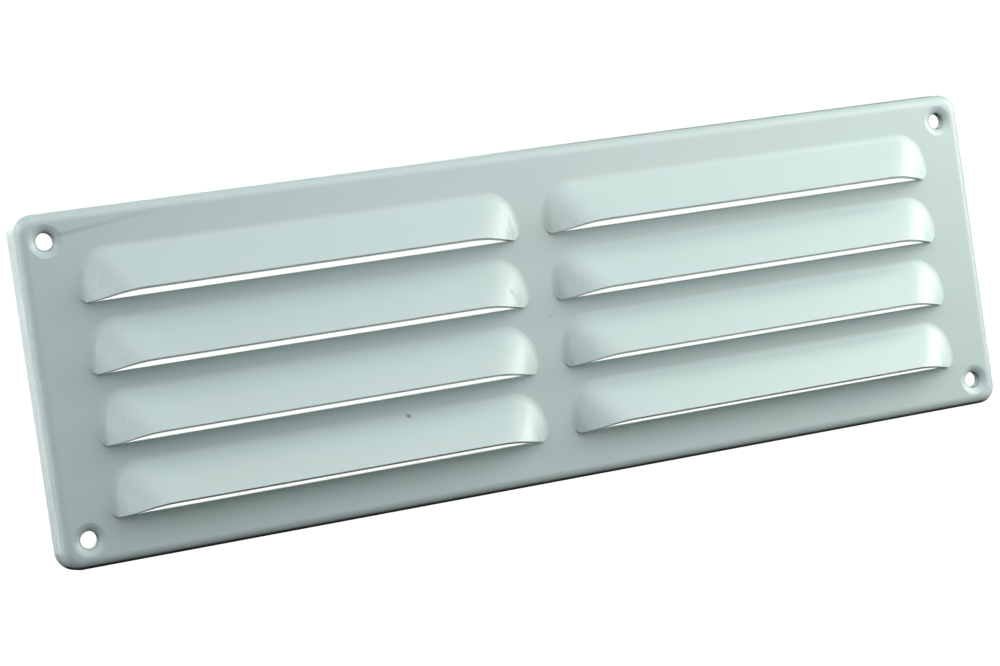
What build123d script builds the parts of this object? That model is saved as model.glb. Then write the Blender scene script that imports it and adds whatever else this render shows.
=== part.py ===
from build123d import *
import os
from math import atan2, cos, floor, hypot, radians, sin, tan

# A louvred vent grille, pressed from one painted aluminium sheet. Sizes are in mm and degrees.
# X runs along the width and Z points up. The front looks along -Y, and the rim lies in the plane Y = 0.

# The tray: a flat face with a flange folded back all round it
plate_width = 229.0
plate_height = 76.0
tray_depth = 8.0          # from the rim to the front of the face
sheet = 1.0
flange_draft = 4.0        # the flange flares out by this angle towards the rim
corner_radius = 4.5       # corners of the rim, seen from the front
fold_inside = 1.4         # inside radius of the fold between face and flange
least_corner = 0.2        # radius that a wide fold leaves at the corners of the face

# The screw holes, each in a pressed dimple
hole_inset = 6.5          # from the rim's edges to the middle of a hole
hole_diameter = 3.7
dimple_width = 2.1        # from the hole's edge to where the face starts to sink
dimple_slope = 52.0       # angle at which the sheet sinks at the hole's edge
dimple_blend = 0.02       # the dimple's curve starts this far in front of the face

# The louvres: columns and rows of hoods, each slit open along its lower edge
column_count = 2
column_gap = 7.8          # between the hoods of two columns
column_step = 0.4         # each column is pressed this much higher than the one to its left
louvre_clearance = 2.0    # between the outer ends of the hoods and the dimples
louvre_lift = 0.5         # the louvres are pressed this far above the plate's middle
row_pitch = 15.15
row_land = 4.4            # flat strip between a slit and the hood below it
row_margin = 9.0          # least flat height above the top hood and under the lowest slit
lip_height = 6.0          # lip in front of the face
lip_lift = 1.6            # lip above its slit
end_run = 6.0             # how far a hood's ends lean in between the face and the lip
hip_inside = 10.0          # inside radius of the round edge between a hood's slope and its ends
root_radius = 3.0         # fold between the face and a hood, seen from the front
heel_radius = 3.5         # lower corners of a hood, where its ends meet the slit
heel_drop = 0.4           # the slit cuts the heels' curves this far above their lowest point
shear_angle = 6.0         # the cut edge of the face leans back by this angle

# Blanks reach this far past the faces that trim them
overlap = 1.0

hole_radius = hole_diameter / 2
hole_x = plate_width / 2 - hole_inset
hole_z = plate_height / 2 - hole_inset
dimple_radius = hole_radius + dimple_width
side_margin = hole_inset + dimple_radius + louvre_clearance
hood_length = (plate_width - 2 * side_margin - (column_count - 1) * column_gap) / column_count
hood_rise = row_pitch - row_land
hood_fall = hood_rise - lip_lift
row_count = floor((plate_height - 2 * row_margin - hood_rise) / row_pitch) + 1
top_slit_z = ((row_count - 1) * row_pitch - hood_rise) / 2 + louvre_lift


def tray_block(inset):
    """The tray as a solid block, or, with the sheet as inset, the hollow behind its face."""
    rim_inset = inset / cos(radians(flange_draft))
    rim_radius = corner_radius - rim_inset
    rim = RectangleRounded(plate_width - 2 * rim_inset, plate_height - 2 * rim_inset, rim_radius)
    depth = tray_depth - inset
    block = extrude(Plane.XZ * rim, depth, taper=flange_draft)
    face = block.faces().sort_by(Axis.Y)[0]
    face_corner = rim_radius - depth * tan(radians(flange_draft))
    return fillet(face.edges(), min(fold_inside + sheet - inset, face_corner - least_corner))


def hood_blank(inset):
    """A hood as a half roof with round hips, which runs on behind the face and below the slit.

    The face is the plane Y = 0 and the slit is at Z = 0. With the sheet as inset, it is the hood's hollow.
    """
    back = inset + overlap
    steepness = hood_fall / lip_height
    slope_z = hood_rise - inset * hypot(lip_height, hood_fall) / lip_height
    top = (back, slope_z + back * steepness)
    nose = (-(slope_z + hood_rise) / steepness, -hood_rise)
    side_view = make_face(Polyline(top, nose, (back, -hood_rise), close=True))
    blank = extrude(Plane.YZ * side_view, hood_length, both=True)

    end_x = hood_length / 2 - inset * hypot(lip_height, end_run) / lip_height
    slope = Plane((0, 0, slope_z), z_dir=(0, -hood_fall, lip_height))
    for side in (1, -1):
        end = Plane((side * end_x, 0, 0), z_dir=(side * lip_height, -end_run, 0))
        blank = split(blank, end, keep=Keep.BOTTOM)
        hip_way = end.z_dir.cross(slope.z_dir)
        hip = blank.edges().filter_by(Axis((0, 0, 0), hip_way))
        blank = fillet(hip, hip_inside + sheet - inset)
    return blank


def hood_form(inset):
    """A hood that rises from a slab of the face through a round root."""
    margin = root_radius + sheet + overlap
    slab_top = hood_rise + margin
    slab = Box(hood_length + 2 * margin, overlap, slab_top + hood_rise)
    form = hood_blank(inset) + Pos(0, inset + overlap / 2, (slab_top - hood_rise) / 2) * slab
    roots = form.edges().filter_by(lambda edge: edge.is_interior)
    return fillet(roots, root_radius + inset)


def heel_block():
    """The front view of a hood and its root, with the round corners of the heels."""
    end_angle = atan2(lip_height, end_run)
    width = hood_length + 2 * root_radius * tan(end_angle / 2)
    height = 2 * row_pitch
    view = Pos(0, height / 2 - heel_drop) * Rectangle(width, height)
    view = fillet(view.vertices().group_by(Axis.Y)[0], heel_radius)
    return extrude(Plane.XZ * view, 2 * lip_height, both=True)


def hood_outside():
    """A hood's outer form. Its lip is cut along an arc, as the slit sheet swings out from the face."""
    swing_radius = (lip_height**2 + lip_lift**2) / (2 * lip_lift)
    swing = Pos(0, 0, swing_radius) * Rot(0, 90, 0) * Cylinder(swing_radius, 2 * hood_length)
    return hood_form(0) & heel_block() & swing


def hood_hollow():
    """The hollow inside a hood, which opens the slit through the face."""
    slit = Plane((0, 0, 0), z_dir=(0, -tan(radians(shear_angle)), 1))
    return split(hood_form(sheet), slit, keep=Keep.TOP)


def louvre_places():
    """The middle of each slit, on the front of the face."""
    for column in range(column_count):
        from_middle = column - (column_count - 1) / 2
        for row in range(row_count):
            slit_z = top_slit_z - row * row_pitch + from_middle * column_step
            yield Pos(from_middle * (hood_length + column_gap), -tray_depth, slit_z)


def hole_places():
    """The middle of each screw hole, on the front of the face."""
    for x in (-hole_x, hole_x):
        for z in (-hole_z, hole_z):
            yield Pos(x, -tray_depth, z)


def dimple_form(side, base):
    """The space round a hole from a flat base to the sheet's surface this far behind its front."""
    slope = radians(dimple_slope)
    bend = dimple_width / sin(slope) - side
    rim_y = side - dimple_blend
    turn_x = dimple_radius - bend * tan(slope / 2)
    edge_y = rim_y + (turn_x - hole_radius) * tan(slope)
    rim = (dimple_radius, rim_y)
    edge = (hole_radius, edge_y)
    curve = Bezier(rim, (turn_x, rim_y), edge)
    outline = Polyline(edge, (0, edge_y), (0, base), (dimple_radius, base), rim)
    return revolve(make_face(curve + outline), Axis.Y)


def grille():
    """The whole pressed sheet."""
    outside = hood_outside()
    hollow = hood_hollow()
    bulge = dimple_form(sheet, sheet / 2)
    bore = Rot(90, 0, 0) * Cylinder(hole_radius, 2 * tray_depth)
    cut = dimple_form(0, -overlap) + bore
    body = tray_block(0) + [place * outside for place in louvre_places()]
    body = body - tray_block(sheet) - [place * hollow for place in louvre_places()]
    body = body + [place * bulge for place in hole_places()]
    return body - [place * cut for place in hole_places()]


os.makedirs("parts", exist_ok=True)
export_step(grille(), "parts/louvre_grille.step")
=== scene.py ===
import math

import bpy
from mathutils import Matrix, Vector


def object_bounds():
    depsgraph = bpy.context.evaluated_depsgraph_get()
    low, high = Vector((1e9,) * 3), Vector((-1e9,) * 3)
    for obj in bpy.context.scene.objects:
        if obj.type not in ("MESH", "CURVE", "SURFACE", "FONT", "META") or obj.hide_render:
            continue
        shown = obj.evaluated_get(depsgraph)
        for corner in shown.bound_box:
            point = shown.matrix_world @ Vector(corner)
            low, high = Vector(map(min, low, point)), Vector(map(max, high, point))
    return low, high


bl_info = {
    "name": "Louvred vent grille",
    "version": (1, 0, 0),
    "blender": (4, 5, 0),
    "location": "View3D > Sidebar > Grille",
    "description": "Paints the pressed vent grille and sets it in a small studio",
    "category": "Object",
}

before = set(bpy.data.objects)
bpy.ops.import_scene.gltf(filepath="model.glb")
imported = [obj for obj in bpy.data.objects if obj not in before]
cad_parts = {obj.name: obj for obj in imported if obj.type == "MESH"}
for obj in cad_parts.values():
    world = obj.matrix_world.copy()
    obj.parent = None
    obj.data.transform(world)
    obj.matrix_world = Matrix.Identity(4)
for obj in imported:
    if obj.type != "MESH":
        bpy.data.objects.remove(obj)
CAD_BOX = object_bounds()
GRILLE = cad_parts["louvre_grille"]
MM = 0.001
HOLE_INSET = 6.5 * MM     # from the rim's edges to the middle of a screw hole
HOOD_DEPTH = 6 * MM       # from the flat face to the hoods' lips

# Directions, and which axes a view keeps
RIGHT = (1.0, 0.0, 0.0)
BACK = (0.0, 1.0, 0.0)
DOWN = (0.0, 0.0, -1.0)
FRONT_VIEW = (1.0, 0.0, 1.0)
TOP_VIEW = (1.0, 1.0, 0.0)

# Masks in the materials: where each one starts and where it is full
UNDER_FADE = (0.6, 0.85)  # how far a surface faces down
STEEP_FADE = (0.25, 0.5)  # how far it faces sideways
CLOUD_FADE = (-0.6, 0.6)  # density of the clouds
GLOW_FADE = (0.3, 0.8)    # distance from the floor's middle, as a share of its flat part

# Forms of the marks
CLOUD_SHARE = 0.6         # spacing of the clouds, as a share of the waves' spacing
SPOT_CORE = 0.4           # full middle of a spot, as a share of its radius
LINE_SQUEEZE = (1.0, 1.0, 0.15)  # places are squeezed along Z by this, so that draw lines run long

# The floor's paint
FLOOR_GRAIN = 0.02        # spacing of its grain, in metres
FLOOR_WAVE = 0.8          # spacing of its waves, in metres
FLOOR_SHADE = 0.98        # its clouds' brightness, as a share of its colour
FLOOR_ROUGHNESS = 0.9
FLOOR_SHINE = 0.1

SENSOR_WIDTH = 36.0       # the camera's, in mm

# Light colours
WHITE = (1.0, 1.0, 1.0)
COOL = (1.0, 0.93, 0.985)
WARM = (1.0, 0.98, 0.94)
ROSY = (1.0, 0.92, 0.935)

# Studio lamps: the way to each lamp from the grille (degrees to the right of the front, degrees up),
# its distance and width in metres, its power in watts and its colour
LAMPS = {
    "key_low_right": (60, 10, 0.5, 0.3, 0.62, WARM),
    "key_low_middle": (40, 10, 0.5, 0.3, 0.19, WHITE),
    "key_low_front": (20, 10, 0.5, 0.3, 0.30, COOL),
    "key_right": (60, 30, 0.5, 0.3, 0.37, WARM),
    "key_middle": (40, 30, 0.5, 0.3, 0.28, WHITE),
    "key_front": (0, 30, 0.5, 0.3, 0.12, COOL),
    "key_left": (-30, 30, 0.5, 0.3, 0.17, COOL),
    "high_right": (40, 50, 0.5, 0.3, 0.25, WARM),
    "high_front": (0, 50, 0.5, 0.3, 0.24, WHITE),
    "low_right": (75, -18, 0.5, 0.3, 0.12, COOL),
    "left_edge": (-140, 10, 0.6, 0.5, 0.79, WHITE),
    "left_middle": (-60, 20, 1.5, 0.9, 4.5, COOL),
    "left_front": (-92, 10, 0.6, 0.5, 1.1, COOL),
    "left_high": (-90, 40, 0.5, 0.3, 0.60, WHITE),
    "right_edge": (80, 10, 0.5, 0.3, 0.32, WARM),
    "end_glint": (77, 20, 1.2, 0.65, 3.6, ROSY),
    "back_fill": (180, 25, 1.0, 0.8, 3.6, WHITE),
}

# Dots of dirt: place and radius in mm, and strength
SPOTS = {
    "speck": ((-35.25, -8.2, -16.95), 0.6, 0.5),
    "speck_tail": ((-34.85, -8.2, -17.3), 0.6, 0.5),
    "dot": ((1.5, -8.0, -0.4), 0.45, 0.22),
    "small_dot": ((0.6, -8.0, -0.8), 0.4, 0.12),
}

# Rubbed lines, and a line of painted shade along a small dent crease, which fade out towards their end:
# start, end and half width in mm, and strength
STROKES = {
    "scuff": ((-104.7, -8.0, 32.5), (-78.7, -8.0, 35.7), 0.8, 0.24),
    # Painted shade: a dark line standing in for the shade in a small dent crease on a hood's end
    "crease_shade": ((-7.9, -10.65, 6.5), (-6.2, -10.1, 3.7), 0.9, 0.35),
}

# Yellowed places: place and radius in mm, and strength
TINTS = {
    "beside_louvre": ((4.0, -8.2, 20.5), 5.0, 0.5),
    "between_columns": ((0.5, -8.0, 20.0), 4.0, 0.35),
}


class GrillePaint(bpy.types.PropertyGroup):
    """The coat of paint on the pressed sheet."""

    colour: bpy.props.FloatVectorProperty(
        name="Paint", description="Colour of the paint", subtype="COLOR", min=0, max=1,
        default=(0.558, 0.711, 0.679))
    cloud: bpy.props.FloatVectorProperty(
        name="Clouding", description="Colour of the faint clouds where the coat is thinner", subtype="COLOR",
        min=0, max=1, default=(0.553, 0.707, 0.680))
    roughness: bpy.props.FloatProperty(
        name="Roughness", description="How matt the paint is", subtype="FACTOR", min=0, max=1, default=0.3)
    shine: bpy.props.FloatProperty(
        name="Shine", description="How strongly the paint reflects the lamps", subtype="FACTOR", min=0, max=1,
        default=0.55)
    roughness_spread: bpy.props.FloatProperty(
        name="Roughness spread", description="How much the gloss changes from place to place",
        subtype="FACTOR", min=0, max=1, default=0.02)
    grain_size: bpy.props.FloatProperty(
        name="Grain size", description="Spacing of the fine bumps in the sprayed coat", unit="LENGTH",
        default=1.1 * MM)
    grain_height: bpy.props.FloatProperty(
        name="Grain height", description="Height of the fine bumps", unit="LENGTH", precision=6,
        default=0.003 * MM)
    wave_size: bpy.props.FloatProperty(
        name="Wave size", description="Spacing of the long waves that pressing leaves in the sheet",
        unit="LENGTH", default=30 * MM)
    wave_height: bpy.props.FloatProperty(
        name="Wave height", description="Height of the long waves", unit="LENGTH", precision=6,
        default=0.03 * MM)


class GrilleMarks(bpy.types.PropertyGroup):
    """Small marks on the paint, the painted shade on downward faces and in a crease, the painted light on the
    lips' cut edges, and how strongly each kind shows.
    """

    # Colour of specks, rubbed-in dirt and the darker rings round the holes, and of the painted shade along a
    # dent crease
    dirt_and_shade: bpy.props.FloatVectorProperty(
        name="Dirt", description="Colour of specks and rubbed-in dirt", subtype="COLOR", min=0, max=1,
        default=(0.045, 0.055, 0.065))
    tint: bpy.props.FloatVectorProperty(
        name="Tint", description="Colour of the paint where it has yellowed", subtype="COLOR", min=0, max=1,
        default=(0.57, 0.70, 0.60))
    hole_place: bpy.props.FloatVectorProperty(
        name="Holes", description="Middle of the upper right screw hole; the other three mirror it",
        subtype="TRANSLATION", unit="LENGTH",
        default=(CAD_BOX[1].x - HOLE_INSET, 0.0, CAD_BOX[1].z - HOLE_INSET))
    hole_radius: bpy.props.FloatProperty(
        name="Hole radius", description="Radius of the screw holes", unit="LENGTH", default=1.85 * MM)
    # A darker ring round the edge of each screw hole: its width and how dark it is
    hole_ring_width: bpy.props.FloatProperty(
        name="Worn width", description="Width of the dark edge that wear leaves round the holes",
        unit="LENGTH", default=0.45 * MM)
    hole_ring_strength: bpy.props.FloatProperty(
        name="Worn strength", description="How dark the worn edges are", subtype="FACTOR", min=0, max=1,
        default=0.45)
    draw_size: bpy.props.FloatProperty(
        name="Draw mark size", description="Spacing of the fine lines that the press drew down steep places",
        unit="LENGTH", default=1.1 * MM)
    draw_height: bpy.props.FloatProperty(
        name="Draw mark height", description="Height of the fine lines", unit="LENGTH", precision=6,
        default=0.08 * MM)
    draw_gloss: bpy.props.FloatProperty(
        name="Draw mark gloss", description="How much the gloss changes from line to line", subtype="FACTOR",
        min=0, max=1, default=0.6)
    face_place: bpy.props.FloatProperty(
        name="Face", description="Where the front of the flat face lies along Y", unit="LENGTH",
        default=CAD_BOX[0].y + HOOD_DEPTH)
    # Painted shade: a dark colour on what faces down near the flat face, the lower flange and the hoods'
    # heels, where little lamp light falls; its colour, strength and reach in front of the face
    painted_shade: bpy.props.FloatVectorProperty(
        name="Grime", description="Colour of the film under the lower flange and the hoods' heels",
        subtype="COLOR", min=0, max=1, default=(0.03, 0.026, 0.034))
    painted_shade_strength: bpy.props.FloatProperty(
        name="Grime strength", description="How much the film hides the paint", subtype="FACTOR",
        min=0, max=1, default=0.93)
    painted_shade_reach: bpy.props.FloatProperty(
        name="Grime reach", description="How far in front of the face the film ends on the heels",
        unit="LENGTH", default=4.5 * MM)
    # Painted light: a paler, greyer colour on the lips' cut edges, which face down and get little lamp light;
    # its colour and strength
    lip_light: bpy.props.FloatVectorProperty(
        name="Cut edges", description="Colour of the lips' cut edges, where the paint is thin",
        subtype="COLOR", min=0, max=1, default=(0.84, 0.91, 0.88))
    lip_light_strength: bpy.props.FloatProperty(
        name="Cut edge strength", description="How much the cut edges differ from the paint",
        subtype="FACTOR", min=0, max=1, default=0.9)


class GrilleStage(bpy.types.PropertyGroup):
    """The studio round the grille."""

    floor_colour: bpy.props.FloatVectorProperty(
        name="Floor", description="Colour of the floor and the backdrop", subtype="COLOR", min=0, max=1,
        default=(0.9, 0.9, 0.9))
    floor_drop: bpy.props.FloatProperty(
        name="Floor drop", description="Depth of the floor under the grille's middle", unit="LENGTH",
        default=0.3)
    floor_radius: bpy.props.FloatProperty(
        name="Floor radius", description="Radius of the floor's flat part", unit="LENGTH", default=1.3)
    bend_radius: bpy.props.FloatProperty(
        name="Bend radius", description="Radius of the bend where the floor turns up", unit="LENGTH",
        default=0.9)
    wall_height: bpy.props.FloatProperty(
        name="Wall height", description="Height of the backdrop above its bend", unit="LENGTH", default=1.5)
    floor_glow: bpy.props.FloatProperty(
        name="Floor glow", description="Light that the floor gives to the camera", min=0, default=0.45)
    wall_glow: bpy.props.FloatProperty(
        name="Wall glow", description="Light that the backdrop gives to the camera", min=0, default=1.0)
    light_level: bpy.props.FloatProperty(
        name="Light level", description="Strength of all the lamps together", min=0, default=1.0)
    camera_place: bpy.props.FloatVectorProperty(
        name="Camera", description="Place of the camera", subtype="TRANSLATION", unit="LENGTH",
        default=(-190.423 * MM, -491.214 * MM, 17.066 * MM))
    camera_angles: bpy.props.FloatVectorProperty(
        name="Camera angles", description="Turns of the camera about X, Y and Z", subtype="EULER",
        default=(math.radians(88.642), math.radians(8.3), math.radians(-20.683)))
    camera_lens: bpy.props.FloatProperty(
        name="Lens", description="Focal length in mm on a sensor 36 mm wide", default=83.228)
    camera_shift: bpy.props.FloatProperty(
        name="Shift", description="How far the frame is moved up, as a share of its width", default=-0.033)


# Helpers for node trees


def feed(tree, target, value):
    """Links a socket to a target, or sets the target to a plain value."""
    if isinstance(value, bpy.types.NodeSocket):
        tree.links.new(value, target)
    else:
        target.default_value = value


def calc(tree, operation, *values):
    """The result of a Math node."""
    node = tree.nodes.new("ShaderNodeMath")
    node.operation = operation
    for target, value in zip(node.inputs, values):
        feed(tree, target, value)
    return node.outputs["Value"]


def vector_calc(tree, operation, *values, result="Vector"):
    """The result of a Vector Math node."""
    node = tree.nodes.new("ShaderNodeVectorMath")
    node.operation = operation
    for target, value in zip(node.inputs, values):
        feed(tree, target, value)
    return node.outputs[result]


def fade(tree, value, low, high, smooth=True):
    """A mask that rises from 0 at the low value to 1 at the high one."""
    node = tree.nodes.new("ShaderNodeMapRange")
    node.interpolation_type = "SMOOTHSTEP" if smooth else "LINEAR"
    feed(tree, node.inputs["Value"], value)
    feed(tree, node.inputs["From Min"], low)
    feed(tree, node.inputs["From Max"], high)
    return node.outputs["Result"]


def length_in_view(tree, vector, view):
    """The length of a vector with only the view's axes kept."""
    flat = vector_calc(tree, "MULTIPLY", vector, view)
    return vector_calc(tree, "LENGTH", flat, result="Value")


def facing(tree, way):
    """How far a surface faces this way, from -1 to 1."""
    normal = tree.nodes.new("ShaderNodeTexCoord").outputs["Normal"]
    return vector_calc(tree, "DOT_PRODUCT", normal, way, result="Value")


def blend(tree, mask, first, second):
    """The first colour, turning into the second where the mask is 1."""
    node = tree.nodes.new("ShaderNodeMix")
    node.data_type = "RGBA"
    feed(tree, node.inputs["Factor"], mask)
    feed(tree, node.inputs["A"], first)
    feed(tree, node.inputs["B"], second)
    return node.outputs["Result"]


def noise(tree, place, spacing):
    """Soft noise whose lumps are this far apart. It runs from 0 to 1."""
    node = tree.nodes.new("ShaderNodeTexNoise")
    feed(tree, node.inputs["Vector"], place)
    feed(tree, node.inputs["Scale"], calc(tree, "DIVIDE", 1.0, spacing))
    return node.outputs["Fac"]


def solid(colour):
    """A colour with its alpha."""
    return (*colour, 1.0)


def place_group(tree, group, **values):
    """Places a node group and feeds the inputs named."""
    node = tree.nodes.new("ShaderNodeGroup")
    node.node_tree = group
    for name, value in values.items():
        feed(tree, node.inputs[name], value)
    return node.outputs


def new_group(name, inputs, outputs):
    """An empty node group with named sockets, and its input and output nodes."""
    group = bpy.data.node_groups.new(name, "ShaderNodeTree")
    for side, sockets in (("INPUT", inputs), ("OUTPUT", outputs)):
        for socket_name, kind in sockets.items():
            group.interface.new_socket(name=socket_name, in_out=side, socket_type=f"NodeSocket{kind}")
    given = group.nodes.new("NodeGroupInput")
    result = group.nodes.new("NodeGroupOutput")
    return group, given.outputs, result.inputs


def paint_film_group():
    """The lumps of a sprayed coat: fine grain, long waves and faint clouds, each from -1 to 1."""
    group, given, result = new_group(
        "Paint film",
        {"Place": "Vector", "Grain Size": "Float", "Wave Size": "Float"},
        {"Grain": "Float", "Wave": "Float", "Cloud": "Float"},
    )
    spacing = {
        "Grain": given["Grain Size"],
        "Wave": given["Wave Size"],
        "Cloud": calc(group, "MULTIPLY", given["Wave Size"], CLOUD_SHARE),
    }
    for name, size in spacing.items():
        lumps = noise(group, given["Place"], size)
        feed(group, result[name], calc(group, "MULTIPLY_ADD", lumps, 2.0, -1.0))
    return group


def spot_group():
    """A round mark with a soft edge."""
    group, given, result = new_group(
        "Spot", {"Place": "Vector", "Middle": "Vector", "Radius": "Float"}, {"Mask": "Float"}
    )
    distance = vector_calc(group, "DISTANCE", given["Place"], given["Middle"], result="Value")
    inner = calc(group, "MULTIPLY", given["Radius"], SPOT_CORE)
    outside = fade(group, distance, inner, given["Radius"])
    feed(group, result["Mask"], calc(group, "SUBTRACT", 1.0, outside))
    return group


def stroke_group():
    """A straight mark with soft edges, which fades out from its start to its end."""
    group, given, result = new_group(
        "Stroke",
        {"Place": "Vector", "Start": "Vector", "End": "Vector", "Half Width": "Float"},
        {"Mask": "Float"},
    )
    run = vector_calc(group, "SUBTRACT", given["End"], given["Start"])
    reach = vector_calc(group, "SUBTRACT", given["Place"], given["Start"])
    along = calc(
        group, "DIVIDE",
        vector_calc(group, "DOT_PRODUCT", reach, run, result="Value"),
        vector_calc(group, "DOT_PRODUCT", run, run, result="Value"),
    )
    along = fade(group, along, 0.0, 1.0, smooth=False)
    stretch = group.nodes.new("ShaderNodeVectorMath")
    stretch.operation = "SCALE"
    feed(group, stretch.inputs["Vector"], run)
    feed(group, stretch.inputs["Scale"], along)
    nearest = vector_calc(group, "ADD", given["Start"], stretch.outputs["Vector"])
    distance = vector_calc(group, "DISTANCE", given["Place"], nearest, result="Value")
    across = calc(group, "SUBTRACT", 1.0, fade(group, distance, 0.0, given["Half Width"]))
    feed(group, result["Mask"], calc(group, "MULTIPLY", across, calc(group, "SUBTRACT", 1.0, along)))
    return group


def new_material(name):
    """A material with its node tree, its shader and the places on the surface."""
    material = bpy.data.materials.new(name)
    material.use_nodes = True
    tree = material.node_tree
    shader = tree.nodes["Principled BSDF"]
    place = tree.nodes.new("ShaderNodeTexCoord").outputs["Object"]
    return material, tree, shader, place


def in_metres(point):
    """A point given in mm."""
    return [value * MM for value in point]


def add_spots(tree, spot, place, spots, colour, mark):
    """The colour with round marks of another colour on it."""
    for middle, radius, strength in spots.values():
        mask = place_group(tree, spot, Place=place, Middle=in_metres(middle), Radius=radius * MM)["Mask"]
        colour = blend(tree, calc(tree, "MULTIPLY", mask, strength), colour, mark)
    return colour


def add_strokes(tree, stroke, place, strokes, colour, mark):
    """The colour with lines of another colour on it: rubbed dirt, and the painted shade of a crease."""
    for start, end, half_width, strength in strokes.values():
        mask = place_group(
            tree, stroke, Place=place, Start=in_metres(start), End=in_metres(end),
            **{"Half Width": half_width * MM}
        )["Mask"]
        colour = blend(tree, calc(tree, "MULTIPLY", mask, strength), colour, mark)
    return colour


def hole_rings(tree, place, marks):
    """A mask of a darker ring round the edges of the four screw holes."""
    quarter = vector_calc(tree, "ABSOLUTE", place)
    reach = vector_calc(tree, "SUBTRACT", quarter, marks.hole_place)
    across = length_in_view(tree, reach, FRONT_VIEW)
    outside = fade(tree, across, marks.hole_radius, marks.hole_radius + marks.hole_ring_width)
    return calc(tree, "MULTIPLY", calc(tree, "SUBTRACT", 1.0, outside), marks.hole_ring_strength)


def underside_shade_and_light(tree, place, marks):
    """Two masks of what faces down: painted shade on the lower flange and the hoods' heels, and painted light
    on the lips' cut edges.
    """
    under = fade(tree, facing(tree, DOWN), *UNDER_FADE)
    depth = vector_calc(tree, "DOT_PRODUCT", place, BACK, result="Value")
    shade_end = marks.face_place - marks.painted_shade_reach
    near_face = fade(tree, depth, shade_end, shade_end + marks.painted_shade_reach / 2)
    heels = calc(tree, "MULTIPLY", under, near_face)
    edges = calc(tree, "SUBTRACT", under, heels)
    return (
        calc(tree, "MULTIPLY", heels, marks.painted_shade_strength),
        calc(tree, "MULTIPLY", edges, marks.lip_light_strength),
    )


def draw_marks(tree, place, marks):
    """Fine lines on what faces sideways, such as the hoods' ends, from -0.5 to 0.5, and 0 elsewhere."""
    steep = fade(tree, calc(tree, "ABSOLUTE", facing(tree, RIGHT)), *STEEP_FADE)
    lines = noise(tree, vector_calc(tree, "MULTIPLY", place, LINE_SQUEEZE), marks.draw_size)
    return calc(tree, "MULTIPLY", calc(tree, "SUBTRACT", lines, 0.5), steep)


def painted_sheet(paint, marks, film, spot, stroke):
    """Satin paint on pressed sheet, with faint clouds, a few marks, painted shade on downward faces near the
    flat face and along a crease, and painted light on the lips' cut edges.
    """
    material, tree, shader, place = new_material("painted_sheet")
    sizes = {"Grain Size": paint.grain_size, "Wave Size": paint.wave_size}
    coat = place_group(tree, film, Place=place, **sizes)

    clouds = fade(tree, coat["Cloud"], *CLOUD_FADE)
    colour = blend(tree, clouds, solid(paint.colour), solid(paint.cloud))
    colour = add_spots(tree, spot, place, TINTS, colour, solid(marks.tint))
    # Scuffs, and painted shade along a small dent crease
    colour = add_strokes(tree, stroke, place, STROKES, colour, solid(marks.dirt_and_shade))
    colour = add_spots(tree, spot, place, SPOTS, colour, solid(marks.dirt_and_shade))
    # A darker ring round each screw hole
    colour = blend(tree, hole_rings(tree, place, marks), colour, solid(marks.dirt_and_shade))
    # Painted shade on the lower flange and the hoods' heels, and painted light on the lips' cut edges
    heels, edges = underside_shade_and_light(tree, place, marks)
    colour = blend(tree, heels, colour, solid(marks.painted_shade))
    colour = blend(tree, edges, colour, solid(marks.lip_light))
    feed(tree, shader.inputs["Base Color"], colour)

    lines = draw_marks(tree, place, marks)
    gloss = calc(tree, "MULTIPLY_ADD", coat["Cloud"], paint.roughness_spread, paint.roughness)
    gloss = calc(tree, "MULTIPLY_ADD", lines, marks.draw_gloss, gloss)
    feed(tree, shader.inputs["Roughness"], gloss)
    shader.inputs["Specular IOR Level"].default_value = paint.shine

    relief = calc(tree, "MULTIPLY", lines, marks.draw_height)
    relief = calc(tree, "MULTIPLY_ADD", coat["Grain"], paint.grain_height, relief)
    relief = calc(tree, "MULTIPLY_ADD", coat["Wave"], paint.wave_height, relief)
    bump = tree.nodes.new("ShaderNodeBump")
    bump.inputs["Distance"].default_value = 1.0
    feed(tree, bump.inputs["Height"], relief)
    feed(tree, shader.inputs["Normal"], bump.outputs["Normal"])
    return material


def studio_floor(stage, film):
    """Pale matt paint, which glows more away from the middle, as on a light table."""
    material, tree, shader, place = new_material("studio_floor")
    sizes = {"Grain Size": FLOOR_GRAIN, "Wave Size": FLOOR_WAVE}
    coat = place_group(tree, film, Place=place, **sizes)
    clouds = fade(tree, coat["Cloud"], *CLOUD_FADE)
    colour = solid(stage.floor_colour)
    shade = solid([FLOOR_SHADE * value for value in stage.floor_colour])
    feed(tree, shader.inputs["Base Color"], blend(tree, clouds, colour, shade))
    shader.inputs["Roughness"].default_value = FLOOR_ROUGHNESS
    shader.inputs["Specular IOR Level"].default_value = FLOOR_SHINE

    across = length_in_view(tree, place, TOP_VIEW)
    glow_start, glow_end = (stage.floor_radius * share for share in GLOW_FADE)
    rise = fade(tree, across, glow_start, glow_end)
    low = (stage.floor_glow,) * 3
    high = (stage.wall_glow,) * 3
    feed(tree, shader.inputs["Emission Color"], blend(tree, rise, solid(low), solid(high)))
    shader.inputs["Emission Strength"].default_value = 1.0
    return material


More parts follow.
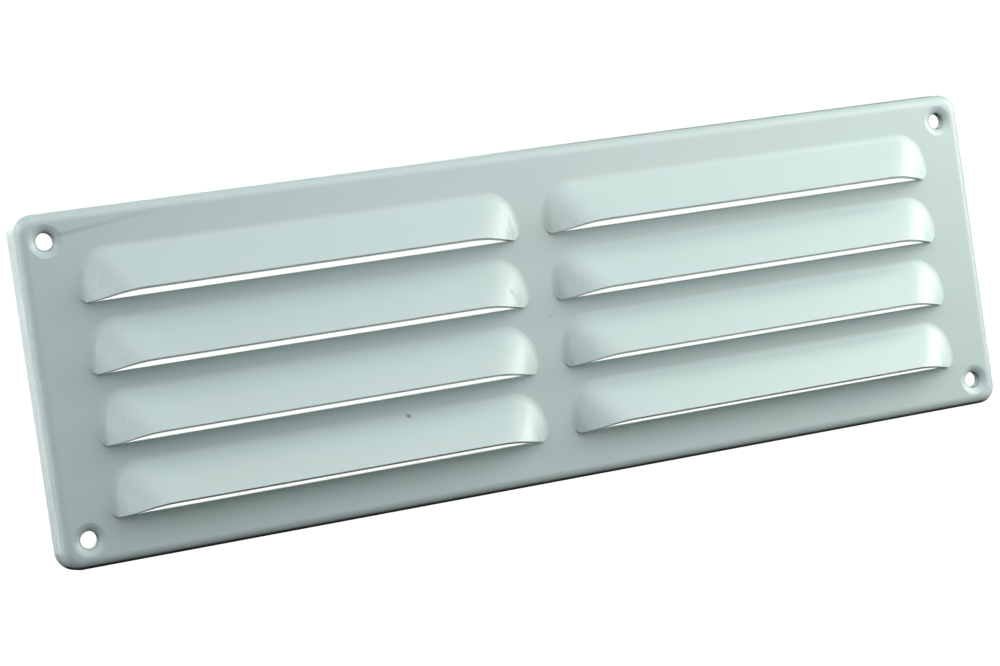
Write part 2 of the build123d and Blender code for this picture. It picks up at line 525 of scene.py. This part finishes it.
def floor_mesh(stage):
    """A round floor that turns up into a wall all round."""
    ring_shares = (0.25, 0.5, 0.75)
    bend_steps = 16
    turns = 64
    profile = [(stage.floor_radius * share, 0.0) for share in ring_shares]
    for step in range(bend_steps + 1):
        angle = math.pi / 2 * step / bend_steps
        across = stage.floor_radius + stage.bend_radius * math.sin(angle)
        profile.append((across, stage.bend_radius * (1 - math.cos(angle))))
    profile.append((profile[-1][0], stage.bend_radius + stage.wall_height))
    points = [(0.0, 0.0, 0.0)]
    for radius, height in profile:
        for turn in range(turns):
            angle = 2 * math.pi * turn / turns
            points.append((radius * math.cos(angle), radius * math.sin(angle), height))
    faces = [(0, 1 + turn, 1 + (turn + 1) % turns) for turn in range(turns)]
    for ring in range(len(profile) - 1):
        inner = 1 + ring * turns
        outer = inner + turns
        for turn in range(turns):
            after = (turn + 1) % turns
            faces.append((inner + turn, outer + turn, outer + after, inner + after))
    mesh = bpy.data.meshes.new("studio_floor")
    mesh.from_pydata(points, [], faces)
    mesh.shade_smooth()
    return mesh


def link(name, data):
    """A new object in the scene."""
    made = bpy.data.objects.new(name, data)
    bpy.context.scene.collection.objects.link(made)
    return made


def make_floor(stage, film):
    """The floor, which only the camera sees, so that it throws no light back on the grille."""
    floor = link("studio_floor", floor_mesh(stage))
    floor.location.z = -stage.floor_drop
    floor.data.materials.append(studio_floor(stage, film))
    floor.visible_diffuse = False
    floor.visible_glossy = False
    floor.visible_shadow = False


def make_lamps(stage):
    """Soft round lamps, all turned to the grille's middle."""
    middle = (CAD_BOX[0] + CAD_BOX[1]) / 2
    for name, (turn, lift, distance, width, power, colour) in LAMPS.items():
        turn = math.radians(turn)
        lift = math.radians(lift)
        way = Vector((math.sin(turn) * math.cos(lift), -math.cos(turn) * math.cos(lift), math.sin(lift)))
        light = bpy.data.lights.new(name, "AREA")
        light.shape = "DISK"
        light.size = width
        light.energy = power * stage.light_level
        light.color = colour
        lamp = link(name, light)
        lamp.location = middle + way * distance
        lamp.rotation_mode = "QUATERNION"
        lamp.rotation_quaternion = way.to_track_quat("Z", "Y")
        lamp.visible_camera = False


def make_camera(stage):
    """The camera, at the photograph's viewing angle."""
    scene = bpy.context.scene
    view = bpy.data.cameras.new("camera")
    view.sensor_width = SENSOR_WIDTH
    view.lens = stage.camera_lens
    view.shift_y = stage.camera_shift
    camera = link("camera", view)
    camera.location = stage.camera_place
    camera.rotation_euler = stage.camera_angles
    scene.camera = camera


class PaintSheet(bpy.types.Operator):
    """Gives the pressed sheet its coat of paint"""

    bl_idname = "grille.paint_sheet"
    bl_label = "Paint the sheet"

    def execute(self, context):
        scene = context.scene
        film = paint_film_group()
        material = painted_sheet(scene.grille_paint, scene.grille_marks, film, spot_group(), stroke_group())
        GRILLE.material_slots[0].material = material
        return {"FINISHED"}


class SetStage(bpy.types.Operator):
    """Makes the floor, the lamps and the camera"""

    bl_idname = "grille.set_stage"
    bl_label = "Set the stage"

    def execute(self, context):
        scene = context.scene
        stage = scene.grille_stage
        make_floor(stage, bpy.data.node_groups["Paint film"])
        make_lamps(stage)
        make_camera(stage)
        scene.world = bpy.data.worlds.new("studio")
        scene.world.color = (0.0, 0.0, 0.0)
        scene.view_settings.view_transform = "Standard"
        return {"FINISHED"}


class GrillePanel(bpy.types.Panel):
    """Lists the grille's settings and steps"""

    bl_idname = "VIEW3D_PT_grille"
    bl_label = "Vent grille"
    bl_space_type = "VIEW_3D"
    bl_region_type = "UI"
    bl_category = "Grille"

    def draw(self, context):
        scene = context.scene
        steps = (
            (PaintSheet, (scene.grille_paint, scene.grille_marks)),
            (SetStage, (scene.grille_stage,)),
        )
        for operator, groups in steps:
            box = self.layout.box()
            for group in groups:
                for name in group.__annotations__:
                    box.prop(group, name)
            box.operator(operator.bl_idname)


CLASSES = (GrillePaint, GrilleMarks, GrilleStage, PaintSheet, SetStage, GrillePanel)
SETTINGS = {"grille_paint": GrillePaint, "grille_marks": GrilleMarks, "grille_stage": GrilleStage}


def register():
    for made in CLASSES:
        bpy.utils.register_class(made)
    for name, group in SETTINGS.items():
        setattr(bpy.types.Scene, name, bpy.props.PointerProperty(type=group))


def unregister():
    for name in SETTINGS:
        delattr(bpy.types.Scene, name)
    for made in reversed(CLASSES):
        bpy.utils.unregister_class(made)


def main():
    """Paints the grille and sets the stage."""
    register()
    bpy.ops.grille.paint_sheet()
    bpy.ops.grille.set_stage()


if __name__ == "__main__":
    main()
